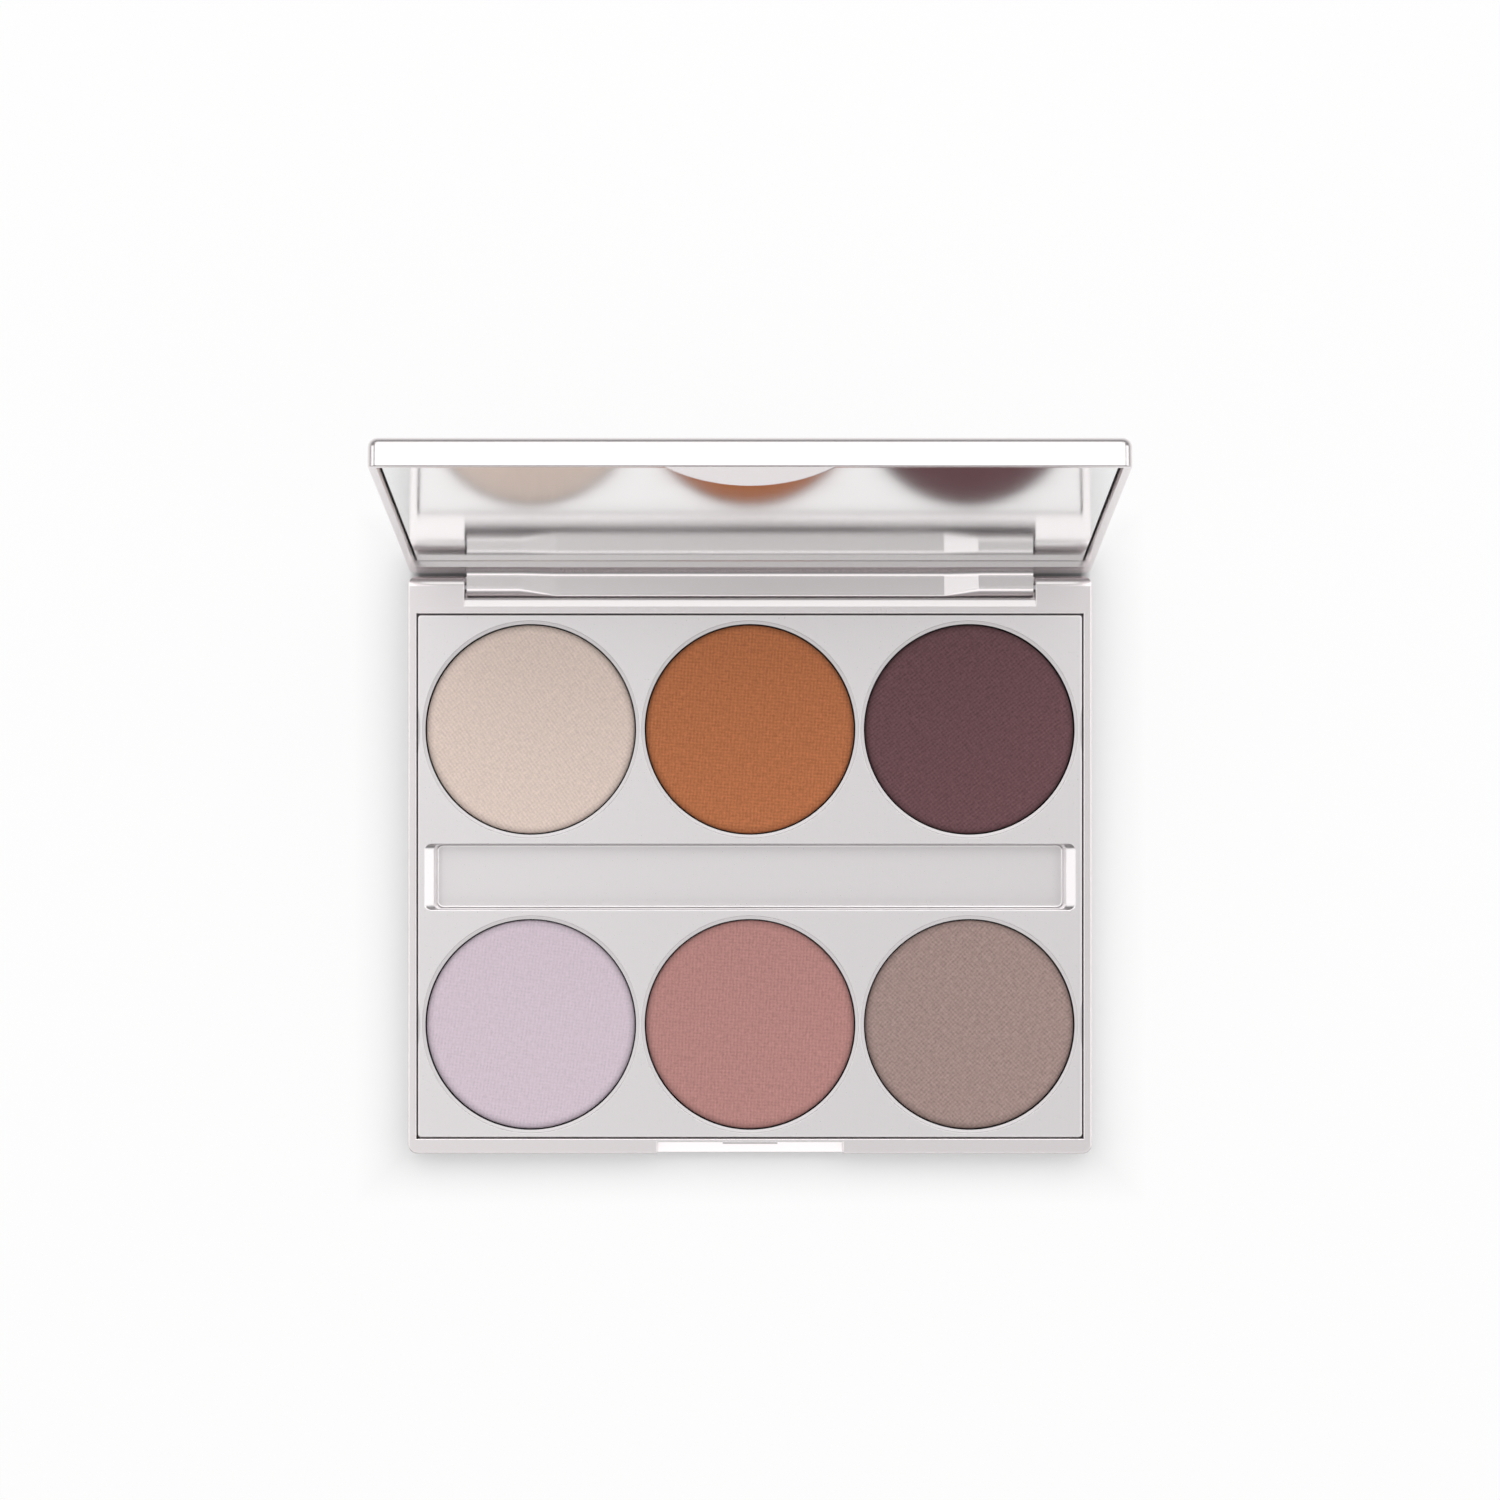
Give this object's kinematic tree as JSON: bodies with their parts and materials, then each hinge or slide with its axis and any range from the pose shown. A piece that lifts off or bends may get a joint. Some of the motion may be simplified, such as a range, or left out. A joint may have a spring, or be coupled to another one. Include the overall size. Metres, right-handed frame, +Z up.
{
  "type": "eyeshadow palette",
  "caption": "Slim silver hinged compact with a mirror in the lid, round pressed eyeshadow pans in a moulded insert and a channel for an applicator.",
  "frame": {"origin": "centre of the base's flat underside", "axes": "+Z up out of the underside, +Y towards the hinge, +X to the right seen from the front; the lid is stored open"},
  "size_m": [0.1, 0.0998, 0.0872],
  "materials": {
    "silver_case": "satin silver lacquer on moulded ABS",
    "silver_insert": "satin silver lacquer on moulded ABS",
    "tinplate": "bright pressed tinplate",
    "powder_cream": "pressed powder with a cloth imprint",
    "powder_amber": "pressed powder with a cloth imprint",
    "powder_plum": "pressed powder with a cloth imprint",
    "powder_lilac": "pressed powder with a cloth imprint",
    "powder_rose": "pressed powder with a cloth imprint",
    "powder_taupe": "pressed powder with a cloth imprint",
    "pan_glue": "hot-melt glue",
    "mirror_glass": "silvered glass",
    "foam_tape": "double-sided foam tape",
    "pin_steel": "drawn steel wire"
  },
  "bodies": {
    "base": {"base_shell": "silver_case", "pan_insert": "silver_insert", "pan_adhesive": "pan_glue", "hinge_pin_left": "pin_steel", "hinge_pin_right": "pin_steel", "pan_cream": "tinplate", "pan_amber": "tinplate", "pan_plum": "tinplate", "pan_lilac": "tinplate", "pan_rose": "tinplate", "pan_taupe": "tinplate", "powder_cream": "powder_cream", "powder_amber": "powder_amber", "powder_plum": "powder_plum", "powder_lilac": "powder_lilac", "powder_rose": "powder_rose", "powder_taupe": "powder_taupe"},
    "lid": {"lid_shell": "silver_case", "mirror": "mirror_glass", "mirror_tape": "foam_tape"}
  },
  "joints": [
    {"name": "lid_hinge", "type": "hinge", "parent": "base", "child": "lid", "pos_m": [0, 0.04063, 0.00535], "axis": [1, 0, 0], "range_deg": [0, 97.5]}
  ]
}
